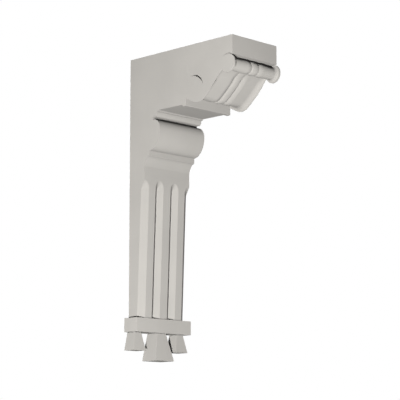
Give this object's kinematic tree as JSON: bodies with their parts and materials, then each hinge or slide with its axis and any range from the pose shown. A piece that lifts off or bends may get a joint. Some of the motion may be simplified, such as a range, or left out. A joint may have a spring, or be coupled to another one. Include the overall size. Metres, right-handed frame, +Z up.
{
  "type": "architectural bracket",
  "caption": "Classical wall bracket with a flat back, fluted tapering shaft, swelling cap moulding, scroll console under its arm and a foot plate with flared drops; carries an eave or shelf.",
  "frame": {"origin": "on the flat back face, in the middle of the width and half-way up the whole bracket", "axes": "+Y out of the back face into the wall, so the arm reaches towards -Y; +Z up; +X to the viewer's right when facing the bracket"},
  "size_m": [0.2246, 0.4411, 0.9144],
  "materials": {
    "painted_wood": "pale warm-grey satin paint over softwood"
  },
  "bodies": {
    "root": {"bracket_body": "painted_wood", "scroll_console": "painted_wood", "foot_plate": "painted_wood", "drop_left": "painted_wood", "drop_centre": "painted_wood", "drop_right": "painted_wood"}
  },
  "joints": []
}
